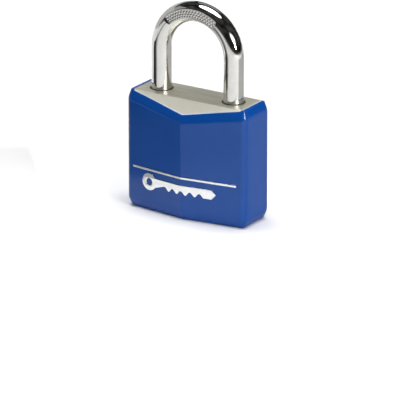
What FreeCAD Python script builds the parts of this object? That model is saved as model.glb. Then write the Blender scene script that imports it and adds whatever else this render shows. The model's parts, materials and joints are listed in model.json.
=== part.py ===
import FreeCAD, Part
import math
import os
import Sketcher

# A covered padlock.  Frame: origin at the middle of the underside, +Z up along
# the shackle, front face towards -Y, heel leg of the shackle on -X, toe leg on +X.
# Rest state: shackle pushed home, plug turned to open, both levers drawn in.

DIMENSIONS = (
    # outside of the body
    ("body_width", 40.9),
    ("body_height", 35.85),
    ("end_half", 6.65),
    ("ridge_half", 9.3),
    ("flat_half", 5.6),
    ("facet_drop", 3.55),
    ("skin", 1.2),
    ("end_skin", 2.0),
    ("rim_bevel", 0.9),
    ("rim_bevel_drop", 2.5),
    ("foot_bevel", 1.15),
    ("foot_bevel_rise", 2.6),
    ("core_corner", 0.8),
    ("cover_corner", 2.0),
    # shackle and its two holes
    ("leg_radius", 3.0),
    ("leg_offset", 12.35),
    ("arch_height", 48.65),
    ("leg_clearance", 0.5),
    ("heel_end", 5.4),
    ("heel_floor", 2.0),
    ("toe_end", 22.2),
    ("toe_floor", 21.6),
    ("end_chamfer", 0.6),
    ("notch_depth", 2.0),
    ("notch_low", 23.9),
    ("notch_high", 26.7),
    ("flat_depth", 0.8),
    ("flat_low", 6.9),
    ("flat_high", 23.2),
    ("stop_pin_radius", 1.0),
    ("stop_pin_gap", 0.1),
    ("stop_pin_height", 22.0),
    ("stop_pin_front", 3.4),
    ("stop_pin_back", 6.0),
    ("spring_bore", 1.5),
    ("spring_bore_depth", 12.0),
    ("coil_radius", 1.1),
    ("coil_wire", 0.25),
    ("coil_pitch", 0.85),
    ("coil_seat", 0.3),
    # cylinder, plug and pin stacks
    ("bore_radius", 5.25),
    ("shell_radius", 5.2),
    ("shell_low", 1.0),
    ("shell_high", 20.4),
    ("bible_reach", 10.9),
    ("bible_half", 2.3),
    ("bible_clearance", 0.05),
    ("plug_radius", 4.0),
    ("plug_clearance", 0.05),
    ("plug_face", 0.7),
    ("flange_radius", 4.6),
    ("flange_top", 2.2),
    ("neck_low", 20.45),
    ("neck_high", 21.15),
    ("neck_radius", 3.2),
    ("plug_top", 22.2),
    ("tenon_floor", 21.2),
    ("tenon_half", 0.8),
    ("tenon_gap", 0.04),
    ("keyway_top", 18.6),
    ("keyway_edge", 2.4),
    ("keyway_back", 3.2),
    ("keyway_half", 0.9),
    ("ward", 0.4),
    ("first_chamber", 5.4),
    ("chamber_pitch", 3.6),
    ("chamber_radius", 1.45),
    ("chamber_floor", 1.0),
    ("cut_one", 0.9),
    ("cut_two", 1.5),
    ("cut_three", 0.4),
    ("cut_four", 1.2),
    ("tip_flat", 0.4),
    ("tip_rise", 0.8),
    ("crown_flat", 0.9),
    ("crown_drop", 0.4),
    ("tumbler_radius", 1.38),
    ("shear_gap", 0.08),
    ("driver_length", 2.9),
    ("driver_face", 1.1),
    ("driver_edge", 0.2),
    ("pin_coil_radius", 1.0),
    ("pin_coil_wire", 0.15),
    ("pin_coil_pitch", 0.55),
    ("pin_coil_seat", 0.2),
    ("strip_inner", 10.3),
    ("strip_half", 1.7),
    ("strip_low", 3.4),
    ("strip_high", 18.4),
    ("clip_radius", 4.7),
    ("clip_thickness", 0.5),
    ("clip_gap", 4.4),
    ("clip_play", 0.05),
    ("clip_lift", 0.1),
    ("lock_pin_radius", 0.8),
    ("lock_pin_place", 7.6),
    ("lock_pin_height", 2.9),
    ("lock_pin_inner", 1.2),
    ("lock_pin_outer", 6.2),
    # cam and levers
    ("cam_radius", 5.1),
    ("cam_low", 22.3),
    ("cam_high", 24.1),
    ("peg_radius", 0.7),
    ("peg_clearance", 0.08),
    ("peg_inner", 2.2),
    ("lever_travel", 1.8),
    ("lever_low", 24.3),
    ("lever_high", 26.3),
    ("lever_half", 2.3),
    ("lever_tip", 9.05),
    ("lever_tail", 1.2),
    ("lever_nose", 0.8),
    ("lever_shoulder", 0.7),
    ("peg_lift", 0.2),
    ("channel_half", 2.45),
    ("channel_low", 24.15),
    ("channel_high", 26.45),
    # raised bar and key sign on the front
    ("sign_proud", 0.25),
    ("bar_reach", 17.8),
    ("bar_low", 12.68),
    ("bar_height", 0.64),
    ("sign_left", 14.2),
    ("sign_right", 11.4),
    ("sign_low", 6.7),
    ("sign_high", 11.9),
    ("blade_share", 0.55),
    ("hole_share", 0.42),
    ("cut_share", 0.75),
    ("tip_share", 0.2),
    ("root_share", 0.2),
    ("crest_share", 0.45),
    # how far a cutting outline runs past the metal that it cuts
    ("overrun", 1.0),
)

KEY_CUTS = ("cut_one", "cut_two", "cut_three", "cut_four")
TEETH = 5
SPIRAL_STEPS = 12
SAME_PLACE = 1e-3
SAME_SIZE = 1e-6

SLOPE = "((dims.ridge_half - dims.end_half) / (dims.body_width / 2))"
HALF = "(dims.body_width / 2)"
CORE_HALF = f"({HALF} - dims.end_skin)"
CORE_RIDGE = f"(dims.ridge_half - dims.skin * sqrt(1 + {SLOPE}^2))"
CORE_END = f"({CORE_RIDGE} - {SLOPE} * {CORE_HALF})"
FACET_FALL = f"(dims.facet_drop / ({CORE_RIDGE} - dims.flat_half))"
STOP_PIN_PLACE = (
    "-(dims.leg_offset - dims.leg_radius + dims.flat_depth"
    " - dims.stop_pin_radius - dims.stop_pin_gap)"
)
FAR = "(3 * dims.ridge_half)"
CLIMB = f"({FACET_FALL} * {SLOPE})"
WALL_LEAN = f"(1 / sqrt(1 + {CLIMB}^2 / (1 + {SLOPE}^2)))"
# bevel wedges are longer than the bevel, so that they leave the block cleanly
OVERCUT = 1.4


def make_sheet(doc):
    sheet = doc.addObject("Spreadsheet::Sheet", "dims")
    for row, (alias, value) in enumerate(DIMENSIONS, 1):
        sheet.set(f"A{row}", alias)
        sheet.set(f"B{row}", str(value))
        sheet.setAlias(f"B{row}", alias)
    doc.recompute()
    return sheet


def size(doc, expression):
    return float(doc.dims.evalExpression(expression))


def new_body(doc, label):
    body = doc.addObject("PartDesign::Body", label)
    body.Label = label
    return body


def sketch_on(body, role, name, offset="0"):
    sketch = body.newObject("Sketcher::SketchObject", name)
    plane = next(f for f in body.Origin.OriginFeatures if f.Role == role)
    sketch.AttachmentSupport = [(plane, "")]
    sketch.MapMode = "FlatFace"
    sketch.setExpression("AttachmentOffset.Base.z", offset)
    return sketch


def pin_point(sketch, geometry, place, point, expressions):
    """Hold one sketch point at two expressions, measured from the sketch origin."""
    kinds = (("DistanceX", -2), ("DistanceY", -1))
    for value, expression, (kind, axis) in zip(point, expressions, kinds):
        if abs(value) < SAME_SIZE:
            sketch.addConstraint(Sketcher.Constraint("PointOnObject", geometry, place, axis))
            continue
        index = sketch.addConstraint(
            Sketcher.Constraint(kind, -1, 1, geometry, place, value)
        )
        sketch.setExpression(f"Constraints[{index}]", expression)


def polygon(sketch, corners):
    """A closed outline whose corners are pairs of expressions."""
    points = [tuple(size(sketch.Document, e) for e in corner) for corner in corners]
    first = sketch.GeometryCount
    count = len(points)
    for index, point in enumerate(points):
        following = points[(index + 1) % count]
        start = FreeCAD.Vector(*point, 0)
        end = FreeCAD.Vector(*following, 0)
        sketch.addGeometry(Part.LineSegment(start, end), False)
    for index in range(count):
        link = Sketcher.Constraint(
            "Coincident", first + index, 2, first + (index + 1) % count, 1
        )
        sketch.addConstraint(link)
    for index, (point, corner) in enumerate(zip(points, corners)):
        pin_point(sketch, first + index, 1, point, corner)


def rectangle(sketch, left, low, right, high):
    polygon(sketch, ((left, low), (right, low), (right, high), (left, high)))


def circle(sketch, centre, radius):
    doc = sketch.Document
    point = tuple(size(doc, e) for e in centre)
    shape = Part.Circle(
        FreeCAD.Vector(*point, 0), FreeCAD.Vector(0, 0, 1), size(doc, radius)
    )
    index = sketch.addGeometry(shape, False)
    pin_point(sketch, index, 3, point, centre)
    bound = sketch.addConstraint(Sketcher.Constraint("Radius", index, shape.Radius))
    sketch.setExpression(f"Constraints[{bound}]", radius)


def pad(body, sketch, length, name):
    feature = body.newObject("PartDesign::Pad", name)
    feature.Profile = sketch
    feature.setExpression("Length", length)
    sketch.Document.recompute()
    return feature


def remove(body, sketch, name, forward=False, both=False, length=None):
    """Pocket a sketch: against its normal, along it when forward, or both ways."""
    sketch.Document.recompute()
    before = body.Shape.Volume
    feature = body.newObject("PartDesign::Pocket", name)
    feature.Profile = sketch
    feature.Midplane = both
    feature.Reversed = forward
    if length is None:
        feature.Type = 1
    else:
        feature.setExpression("Length", length)
    sketch.Document.recompute()
    if not body.Shape.Volume < before - SAME_PLACE:
        raise RuntimeError(f"{body.Label}.{name} cuts nothing")
    return feature


def spin(body, sketch, axis, name, angle=360, reverse=False):
    feature = body.newObject("PartDesign::Revolution", name)
    feature.Profile = sketch
    feature.ReferenceAxis = (sketch, [axis])
    feature.Angle = angle
    feature.Reversed = reverse
    sketch.Document.recompute()
    return feature


def edges_where(shape, test):
    return [f"Edge{i}" for i, edge in enumerate(shape.Edges, 1) if test(edge)]


def dress(body, kind, name, test, **sizes):
    """Round or chamfer the edges of the body so far that pass a test."""
    base = body.Tip
    feature = body.newObject(kind, name)
    feature.Base = (base, edges_where(base.Shape, test))
    for prop, value in sizes.items():
        if isinstance(value, int):
            setattr(feature, prop, value)
        else:
            feature.setExpression(prop, value)
    body.Document.recompute()
    return feature


def is_upright(edge):
    box = edge.BoundBox
    return box.XLength < SAME_SIZE and box.YLength < SAME_SIZE


def is_ring_at(height):
    return lambda edge: (
        isinstance(edge.Curve, Part.Circle)
        and abs(edge.CenterOfMass.z - height) < SAME_PLACE
    )


def hexagon(sketch, half, end, ridge):
    polygon(
        sketch,
        (
            (half, f"-{end}"),
            (half, end),
            ("0", ridge),
            (f"-{half}", end),
            (f"-{half}", f"-{end}"),
            ("0", f"-{ridge}"),
        ),
    )


def cut_facets(body):
    """Slope the front and back of the top down to the two middle ridges."""
    reach = f"({FAR} - dims.flat_half)"
    for name, sign in (("front", "-"), ("back", "")):
        sketch = sketch_on(body, "YZ_Plane", f"{name}_facet")
        polygon(
            sketch,
            (
                (f"{sign}dims.flat_half", "dims.body_height"),
                (f"{sign}{FAR}", f"dims.body_height - {reach} * {FACET_FALL}"),
                (f"{sign}{FAR}", "dims.body_height"),
            ),
        )
        remove(body, sketch, f"{name}_slope", both=True)


def make_lock_body(doc):
    body = new_body(doc, "lock_body")
    plan = sketch_on(body, "XY_Plane", "plan", "dims.skin")
    hexagon(plan, CORE_HALF, CORE_END, CORE_RIDGE)
    pad(body, plan, "dims.body_height - dims.skin", "block")
    half = size(doc, CORE_HALF)
    dress(
        body,
        "PartDesign::Fillet",
        "corners",
        lambda e: is_upright(e) and abs(abs(e.CenterOfMass.x) - half) < SAME_PLACE,
        Radius="dims.core_corner",
    )
    cut_facets(body)

    hole = "dims.leg_radius + dims.leg_clearance"
    for name, side, floor in (("heel", "-", "heel_floor"), ("toe", "", "toe_floor")):
        sketch = sketch_on(body, "XY_Plane", f"{name}_hole", f"dims.{floor}")
        circle(sketch, (f"{side}dims.leg_offset", "0"), hole)
        remove(body, sketch, f"{name}_bore", forward=True)

    bore = sketch_on(body, "XY_Plane", "bore", "dims.channel_high")
    circle(bore, ("0", "0"), "dims.bore_radius")
    remove(body, bore, "cylinder_bore")

    slot = sketch_on(body, "XY_Plane", "slot", "dims.shell_high + dims.bible_clearance")
    wide = "(dims.bible_half + dims.bible_clearance)"
    rectangle(slot, "0", f"-{wide}", "dims.bible_reach + dims.bible_clearance", wide)
    remove(body, slot, "bible_slot")

    channel = sketch_on(body, "XY_Plane", "channel", "dims.channel_high")
    end = "dims.leg_offset"
    rectangle(channel, f"-{end}", "-dims.channel_half", end, "dims.channel_half")
    remove(body, channel, "lever_channel", length="dims.channel_high - dims.channel_low")

    stop = sketch_on(body, "XZ_Plane", "stop", "dims.stop_pin_front")
    circle(stop, (STOP_PIN_PLACE, "dims.stop_pin_height"), "dims.stop_pin_radius")
    remove(body, stop, "stop_pin_hole")

    lock = sketch_on(body, "XZ_Plane", "lock", "-dims.lock_pin_inner")
    circle(lock, ("dims.lock_pin_place", "dims.lock_pin_height"), "dims.lock_pin_radius")
    remove(body, lock, "lock_pin_hole")
    return body


def cut_end_bevel(body, name, inset, start, rise):
    """Bevel both end walls from a height on the wall towards the top or the foot."""
    for side, sign in (("left", "-"), ("right", "")):
        sketch = sketch_on(body, "XZ_Plane", f"{name}_{side}_end")
        beyond = f"{start} + {OVERCUT} * {rise}"
        polygon(
            sketch,
            (
                (f"{sign}{HALF}", start),
                (f"{sign}({HALF} - {OVERCUT} * {inset})", beyond),
                (f"{sign}({HALF} + {inset})", beyond),
                (f"{sign}({HALF} + {inset})", start),
            ),
        )
        remove(body, sketch, f"{name}_{side}_end_cut", both=True)


def cut_wall_bevel(body, name, inset, start, rise, climb):
    """Bevel the four long walls; start is the height at the ridge, climb its slope along x."""
    doc = body.Document
    slope = size(doc, SLOPE)
    ridge = size(doc, "dims.ridge_half")
    for place, right, front in (("front_right", 1, 1), ("back_left", -1, -1),
                                ("front_left", -1, 1), ("back_right", 1, -1)):
        outward = FreeCAD.Vector(right * slope, -front, 0)
        along = FreeCAD.Vector(right, front * slope, size(doc, climb))
        if right * front > 0:
            along = -along
        turn = FreeCAD.Rotation(outward, FreeCAD.Vector(), along, "XZY")
        corner = FreeCAD.Vector(0, -front * ridge, size(doc, start))
        sketch = sketch_on(body, "XY_Plane", f"{name}_{place}")
        sketch.setExpression("AttachmentOffset.Base.z", None)
        sketch.AttachmentOffset = FreeCAD.Placement(corner, turn)
        polygon(
            sketch,
            (
                ("0", "0"),
                (f"-{OVERCUT} * {inset}", f"{OVERCUT} * {rise}"),
                (inset, f"{OVERCUT} * {rise}"),
                (inset, "0"),
            ),
        )
        remove(body, sketch, f"{name}_{place}_cut", both=True)


def make_vinyl_cover(doc):
    body = new_body(doc, "vinyl_cover")
    plan = sketch_on(body, "XY_Plane", "plan")
    hexagon(plan, HALF, "dims.end_half", "dims.ridge_half")
    pad(body, plan, "dims.body_height", "block")
    half = size(doc, HALF)
    dress(
        body,
        "PartDesign::Fillet",
        "corners",
        lambda e: is_upright(e) and abs(abs(e.CenterOfMass.x) - half) < SAME_PLACE,
        Radius="dims.cover_corner",
    )
    pouch = sketch_on(body, "XY_Plane", "pouch", "dims.skin")
    hexagon(pouch, CORE_HALF, CORE_END, CORE_RIDGE)
    remove(body, pouch, "core_space", forward=True)
    inner = size(doc, CORE_HALF)
    dress(
        body,
        "PartDesign::Fillet",
        "inner_corners",
        lambda e: is_upright(e) and abs(abs(e.CenterOfMass.x) - inner) < SAME_PLACE,
        Radius="dims.core_corner",
    )
    cut_facets(body)
    drop = "dims.rim_bevel_drop"
    cut_end_bevel(body, "rim", "dims.rim_bevel", f"(dims.body_height - {drop})", drop)
    ridge_start = f"(dims.body_height - {drop} - {CLIMB} * {HALF})"
    past_flat = f"(dims.ridge_half - dims.rim_bevel - dims.flat_half)"
    facet_top = f"(dims.body_height - {past_flat} * {FACET_FALL})"
    rise = f"(({facet_top} - {ridge_start}) * {WALL_LEAN})"
    cut_wall_bevel(body, "rim", "dims.rim_bevel", ridge_start, rise, CLIMB)
    foot = "dims.foot_bevel_rise"
    cut_end_bevel(body, "foot", "dims.foot_bevel", foot, f"(-{foot})")
    cut_wall_bevel(body, "foot", "dims.foot_bevel", foot, f"(-{foot})", "0")

    window = sketch_on(body, "XY_Plane", "window", "dims.skin")
    circle(window, ("0", "0"), "dims.shell_radius")
    remove(body, window, "cylinder_window")
    return body


def front_strip(body, reach, low, height):
    """A band standing on both front walls, its back face flat on them."""
    sketch = sketch_on(body, "XY_Plane", "band", low)
    wall = f"(dims.ridge_half - {SLOPE} * {reach})"
    proud = "dims.sign_proud"
    polygon(
        sketch,
        (
            ("0", "-dims.ridge_half"),
            (f"-{reach}", f"-{wall}"),
            (f"-{reach}", f"-({wall} + {proud})"),
            ("0", f"-(dims.ridge_half + {proud})"),
            (reach, f"-({wall} + {proud})"),
            (reach, f"-{wall}"),
        ),
    )
    pad(body, sketch, height, "strip")


def make_trim_bar(doc):
    body = new_body(doc, "trim_bar")
    front_strip(body, "dims.bar_reach", "dims.bar_low", "dims.bar_height")
    return body


def key_outline(sketch):
    """The key's outline: straight edges round the blade, one arc round the bow."""
    bow = "((dims.sign_high - dims.sign_low) / 2)"
    middle = f"(dims.sign_low + {bow})"
    centre = f"({bow} - dims.sign_left)"
    blade = f"(dims.blade_share * {bow})"
    neck = f"({centre} + sqrt({bow}^2 - {blade}^2))"
    pitch = f"((dims.sign_right - {neck}) / {TEETH + 2})"
    shoulder = f"dims.sign_right - {blade}"
    corners = [
        (neck, f"{middle} + {blade}"),
        (shoulder, f"{middle} + {blade}"),
        ("dims.sign_right", f"{middle} + {blade} * dims.tip_share"),
        (shoulder, f"{middle} - {blade}"),
    ]
    for tooth in range(TEETH, 0, -1):
        root = f"{neck} + {pitch} * ({tooth} + dims.root_share)"
        corners.append((f"{root} + {pitch} * dims.crest_share", f"{middle} - {blade}"))
        corners.append((root, f"{middle} - {blade} * (1 - dims.cut_share)"))
    corners.append((neck, f"{middle} - {blade}"))
    doc = sketch.Document
    points = [FreeCAD.Vector(size(doc, x), size(doc, z), 0) for x, z in corners]
    first = sketch.GeometryCount
    for start, end in zip(points, points[1:]):
        sketch.addGeometry(Part.LineSegment(start, end), False)
    far = FreeCAD.Vector(size(doc, "-dims.sign_left"), size(doc, middle), 0)
    arc = sketch.addGeometry(Part.Arc(points[-1], far, points[0]), False)
    for line in range(first, arc):
        corner = corners[line - first]
        point = (points[line - first].x, points[line - first].y)
        pin_point(sketch, line, 1, point, corner)
    for line in range(first, arc - 1):
        sketch.addConstraint(Sketcher.Constraint("Coincident", line, 2, line + 1, 1))
    last = (points[-1].x, points[-1].y)
    pin_point(sketch, arc - 1, 2, last, corners[-1])
    for end, line, start in ends_of_arc(sketch, arc, first):
        sketch.addConstraint(Sketcher.Constraint("Coincident", arc, end, line, start))
    circle(sketch, (centre, middle), f"dims.hole_share * {bow}")


def ends_of_arc(sketch, arc, first):
    """Pairs each end of the arc with the end of the line that it meets."""
    line_start = sketch.getPoint(first, 1)
    pairs = []
    for end in (1, 2):
        if sketch.getPoint(arc, end).distanceToPoint(line_start) < SAME_PLACE:
            pairs.append((end, first, 1))
        else:
            pairs.append((end, arc - 1, 2))
    return pairs


def make_key_sign(doc):
    """A key lying on its side: a round bow with a hole, and a blade cut with teeth."""
    body = new_body(doc, "key_sign")
    front_strip(body, "dims.sign_left", "dims.sign_low", "dims.sign_high - dims.sign_low")
    sketch = sketch_on(body, "XZ_Plane", "outline")
    margin = "(dims.sign_high - dims.sign_low)"
    rectangle(
        sketch,
        f"-dims.sign_left - {margin}",
        f"dims.sign_low - {margin}",
        f"dims.sign_left + {margin}",
        f"dims.sign_high + {margin}",
    )
    key_outline(sketch)
    remove(body, sketch, "around", both=True)
    return body


def make_shackle(doc):
    body = new_body(doc, "shackle")
    for name, side in (("heel", "-"), ("toe", "")):
        sketch = sketch_on(body, "XY_Plane", f"{name}_leg", f"dims.{name}_end")
        circle(sketch, (f"{side}dims.leg_offset", "0"), "dims.leg_radius")
        pad(body, sketch, f"dims.arch_height - dims.{name}_end", f"{name}_rod")
    sketch = sketch_on(body, "XY_Plane", "arch", "dims.arch_height")
    circle(sketch, ("dims.leg_offset", "0"), "dims.leg_radius")
    spin(body, sketch, "V_Axis", "bow", angle=180, reverse=True)
    for name in ("heel", "toe"):
        dress(
            body,
            "PartDesign::Chamfer",
            f"{name}_nose",
            is_ring_at(size(doc, f"dims.{name}_end")),
            Size="dims.end_chamfer",
        )

    inner = "(dims.leg_offset - dims.leg_radius)"
    for name, side in (("heel", "-"), ("toe", "")):
        sketch = sketch_on(body, "XZ_Plane", f"{name}_notch")
        rectangle(
            sketch,
            f"{side}({inner} - dims.overrun)",
            "dims.notch_low",
            f"{side}({inner} + dims.notch_depth)",
            "dims.notch_high",
        )
        remove(body, sketch, f"{name}_notch_cut", both=True)
    sketch = sketch_on(body, "XZ_Plane", "flat")
    deep = f"-({inner} + dims.flat_depth)"
    edge = f"-({inner} - dims.overrun)"
    rectangle(sketch, edge, "dims.flat_low", deep, "dims.flat_high")
    remove(body, sketch, "stop_flat", both=True)
    sketch = sketch_on(
        body, "XY_Plane", "spring_hole", "dims.heel_end + dims.spring_bore_depth"
    )
    circle(sketch, ("-dims.leg_offset", "0"), "dims.spring_bore")
    remove(body, sketch, "spring_seat")
    return body


def make_coil(doc, label, radius, wire, pitch, length, placement):
    """A round-wire compression spring swept along a helix."""
    helix = doc.addObject("Part::Helix", f"{label}_line")
    helix.setExpression("Radius", radius)
    helix.setExpression("Pitch", pitch)
    helix.setExpression("Height", length)
    section = doc.addObject("Part::Circle", f"{label}_wire")
    section.setExpression("Radius", wire)
    across = FreeCAD.Rotation(FreeCAD.Vector(1, 0, 0), 90)
    section.Placement = FreeCAD.Placement(FreeCAD.Vector(), across)
    section.setExpression("Placement.Base.x", radius)
    coil = doc.addObject("Part::Sweep", label)
    coil.Label = label
    coil.Sections = [section]
    coil.Spine = (helix, [])
    coil.Solid = True
    coil.Frenet = True
    coil.Placement = placement
    doc.recompute()
    return coil


def make_shackle_spring(doc):
    place = FreeCAD.Vector(
        size(doc, "-dims.leg_offset"), 0, size(doc, "dims.heel_floor + dims.coil_seat")
    )
    room = "(dims.heel_end + dims.spring_bore_depth - dims.heel_floor)"
    return make_coil(
        doc,
        "shackle_spring",
        "dims.coil_radius",
        "dims.coil_wire",
        "dims.coil_pitch",
        f"{room} - 2 * dims.coil_seat",
        FreeCAD.Placement(place, FreeCAD.Rotation()),
    )


def make_dowel(doc, label, centre, radius, front, back):
    """A plain round pin lying along Y from its front end to its back end."""
    body = new_body(doc, label)
    sketch = sketch_on(body, "XZ_Plane", "section", f"-({front})")
    circle(sketch, centre, radius)
    feature = pad(body, sketch, f"{back} - ({front})", "dowel")
    feature.Reversed = True
    doc.recompute()
    return body


def make_stop_pin(doc):
    return make_dowel(
        doc,
        "shackle_stop_pin",
        (STOP_PIN_PLACE, "dims.stop_pin_height"),
        "dims.stop_pin_radius",
        "-dims.stop_pin_front",
        "dims.stop_pin_back",
    )


def make_cylinder_pin(doc):
    return make_dowel(
        doc,
        "cylinder_pin",
        ("dims.lock_pin_place", "dims.lock_pin_height"),
        "dims.lock_pin_radius",
        "dims.lock_pin_inner",
        "dims.lock_pin_outer",
    )


def make_lever(doc, label, side):
    """A sliding bolt plate with a peg underneath that rides in the cam."""
    body = new_body(doc, label)
    plate = sketch_on(body, "XY_Plane", "plate", "dims.lever_low")
    wide, tip, tail = "dims.lever_half", "dims.lever_tip", "dims.lever_tail"
    polygon(
        plate,
        (
            (f"{side}{tail}", f"-{wide}"),
            (f"{side}({tip} - dims.lever_nose)", f"-{wide}"),
            (f"{side}{tip}", f"-({wide} - dims.lever_shoulder)"),
            (f"{side}{tip}", f"{wide} - dims.lever_shoulder"),
            (f"{side}({tip} - dims.lever_nose)", wide),
            (f"{side}{tail}", wide),
        ),
    )
    pad(body, plate, "dims.lever_high - dims.lever_low", "bolt")
    peg = sketch_on(body, "XY_Plane", "peg", "dims.cam_low + dims.peg_lift")
    circle(peg, (f"{side}dims.peg_inner", "0"), "dims.peg_radius")
    pad(body, peg, "dims.lever_low - dims.cam_low - dims.peg_lift", "peg_stud")
    return body


def spiral_slot(doc, start_angle):
    """One quarter-turn Archimedean slot: its middle line moves out steadily with angle."""
    inner = size(doc, "dims.peg_inner")
    travel = size(doc, "dims.lever_travel")
    half = size(doc, "dims.peg_radius + dims.peg_clearance")
    low, high = size(doc, "dims.cam_low"), size(doc, "dims.cam_high")
    rate = travel / (math.pi / 2)
    edges = {1: [], -1: []}
    middle = []
    for step in range(SPIRAL_STEPS + 1):
        angle = math.pi / 2 * step / SPIRAL_STEPS
        radius = inner + rate * angle
        bearing = start_angle + angle
        out = FreeCAD.Vector(math.cos(bearing), math.sin(bearing), 0)
        around = FreeCAD.Vector(-out.y, out.x, 0)
        heading = out * rate + around * radius
        heading.normalize()
        side = FreeCAD.Vector(heading.y, -heading.x, 0)
        centre = out * radius
        middle.append((centre, heading))
        for sign in edges:
            edges[sign].append(centre + side * (sign * half))
    curves = []
    for sign in (1, -1):
        spline = Part.BSplineCurve()
        spline.interpolate(edges[sign])
        curves.append(spline.toShape())
    (first, first_heading), (last, last_heading) = middle[0], middle[-1]
    start_cap = Part.Arc(edges[1][0], first - first_heading * half, edges[-1][0])
    end_cap = Part.Arc(edges[1][-1], last + last_heading * half, edges[-1][-1])
    wire = Part.Wire(Part.sortEdges(curves + [start_cap.toShape(), end_cap.toShape()])[0])
    solid = Part.Face(wire).extrude(FreeCAD.Vector(0, 0, 2 * (high - low)))
    solid.translate(FreeCAD.Vector(0, 0, low - (high - low) / 2))
    return solid


def make_cam(doc):
    disc = doc.addObject("Part::Cylinder", "cam_disc")
    disc.setExpression("Radius", "dims.cam_radius")
    disc.setExpression("Height", "dims.cam_high - dims.cam_low")
    disc.setExpression("Placement.Base.z", "dims.cam_low")
    slots = doc.addObject("Part::Feature", "cam_slots")
    slots.Shape = Part.makeCompound([spiral_slot(doc, 0), spiral_slot(doc, math.pi)])
    plate = doc.addObject("Part::Cut", "cam_plate")
    plate.Base = disc
    plate.Tool = slots
    tenon = doc.addObject("Part::Box", "cam_tenon")
    tenon.setExpression("Length", "2 * dims.neck_radius")
    tenon.setExpression("Width", "2 * (dims.tenon_half - dims.tenon_gap)")
    tenon.setExpression("Height", "dims.cam_low - dims.tenon_floor - dims.tenon_gap")
    tenon.setExpression("Placement.Base.x", "-dims.neck_radius")
    tenon.setExpression("Placement.Base.y", "-(dims.tenon_half - dims.tenon_gap)")
    tenon.setExpression("Placement.Base.z", "dims.tenon_floor + dims.tenon_gap")
    cam = doc.addObject("Part::Fuse", "cam")
    cam.Label = "cam"
    cam.Base = plate
    cam.Tool = tenon
    doc.recompute()
    return cam


def chamber_heights():
    count = len(KEY_CUTS)
    return [f"(dims.first_chamber + {i} * dims.chamber_pitch)" for i in range(count)]


def make_plug(doc):
    body = new_body(doc, "plug")
    section = sketch_on(body, "XZ_Plane", "section")
    radius, flange, neck = "dims.plug_radius", "dims.flange_radius", "dims.neck_radius"
    polygon(
        section,
        (
            ("0", "dims.plug_face"),
            (flange, "dims.plug_face"),
            (flange, "dims.flange_top"),
            (radius, "dims.flange_top"),
            (radius, "dims.neck_low"),
            (neck, "dims.neck_low"),
            (neck, "dims.neck_high"),
            (radius, "dims.neck_high"),
            (radius, "dims.plug_top"),
            ("0", "dims.plug_top"),
        ),
    )
    spin(body, section, "V_Axis", "turned")
    keyway = sketch_on(body, "XY_Plane", "keyway", "dims.keyway_top")
    half, ward = "dims.keyway_half", "dims.ward"
    polygon(
        keyway,
        (
            (f"-{half}", "-dims.keyway_back"),
            (half, "-dims.keyway_back"),
            (half, "-dims.keyway_back / 2"),
            (f"{half} - {ward}", "-dims.keyway_back / 4"),
            (f"{half} - {ward}", "dims.keyway_edge / 4"),
            (half, "dims.keyway_edge / 2"),
            (half, "dims.keyway_edge"),
            (f"-{half} + {ward}", "dims.keyway_edge"),
            (f"-{half} + {ward}", "dims.keyway_edge / 3"),
            (f"-{half}", "0"),
        ),
    )
    remove(body, keyway, "keyway_cut")
    holes = sketch_on(body, "XZ_Plane", "chambers", "dims.chamber_floor")
    for height in chamber_heights():
        circle(holes, ("0", height), "dims.chamber_radius")
    remove(body, holes, "chamber_holes")
    groove = sketch_on(body, "YZ_Plane", "groove")
    half = "dims.tenon_half"
    rectangle(groove, f"-{half}", "dims.tenon_floor", half, "dims.plug_top + dims.overrun")
    remove(body, groove, "tenon_groove", both=True)
    return body


def make_plug_clip(doc):
    body = new_body(doc, "plug_clip")
    ring = sketch_on(body, "XY_Plane", "ring", "dims.neck_low + dims.clip_lift")
    circle(ring, ("0", "0"), "dims.clip_radius")
    circle(ring, ("0", "0"), "dims.neck_radius + dims.clip_play")
    pad(body, ring, "dims.clip_thickness", "washer")
    mouth = sketch_on(body, "XY_Plane", "mouth", "dims.neck_high")
    half = "dims.clip_gap / 2"
    rectangle(mouth, f"-{half}", "0", half, "-dims.clip_radius - dims.overrun")
    remove(body, mouth, "opening")
    return body


def make_cylinder_shell(doc):
    body = new_body(doc, "cylinder_shell")
    barrel = sketch_on(body, "XY_Plane", "barrel", "dims.shell_low")
    circle(barrel, ("0", "0"), "dims.shell_radius")
    pad(body, barrel, "dims.shell_high - dims.shell_low", "round")
    bible = sketch_on(body, "XY_Plane", "bible", "dims.skin")
    rectangle(bible, "0", "-dims.bible_half", "dims.bible_reach", "dims.bible_half")
    pad(body, bible, "dims.shell_high - dims.skin", "bible_block")
    bore = sketch_on(body, "XY_Plane", "bore", "dims.shell_high")
    circle(bore, ("0", "0"), "dims.plug_radius + dims.plug_clearance")
    remove(body, bore, "plug_bore")
    seat = sketch_on(body, "XY_Plane", "seat", "dims.flange_top + dims.plug_clearance")
    circle(seat, ("0", "0"), "dims.flange_radius + dims.plug_clearance")
    remove(body, seat, "flange_seat")
    holes = sketch_on(body, "YZ_Plane", "chambers")
    for height in chamber_heights():
        circle(holes, ("0", height), "dims.chamber_radius")
    remove(body, holes, "chamber_holes", forward=True)
    strip = sketch_on(body, "YZ_Plane", "strip", "dims.strip_inner")
    rectangle(strip, "-dims.strip_half", "dims.strip_low", "dims.strip_half", "dims.strip_high")
    remove(body, strip, "strip_groove", forward=True)
    lock = sketch_on(body, "XZ_Plane", "lock", "-dims.lock_pin_inner")
    circle(lock, ("dims.lock_pin_place", "dims.lock_pin_height"), "dims.lock_pin_radius")
    remove(body, lock, "lock_pin_hole")
    return body


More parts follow.
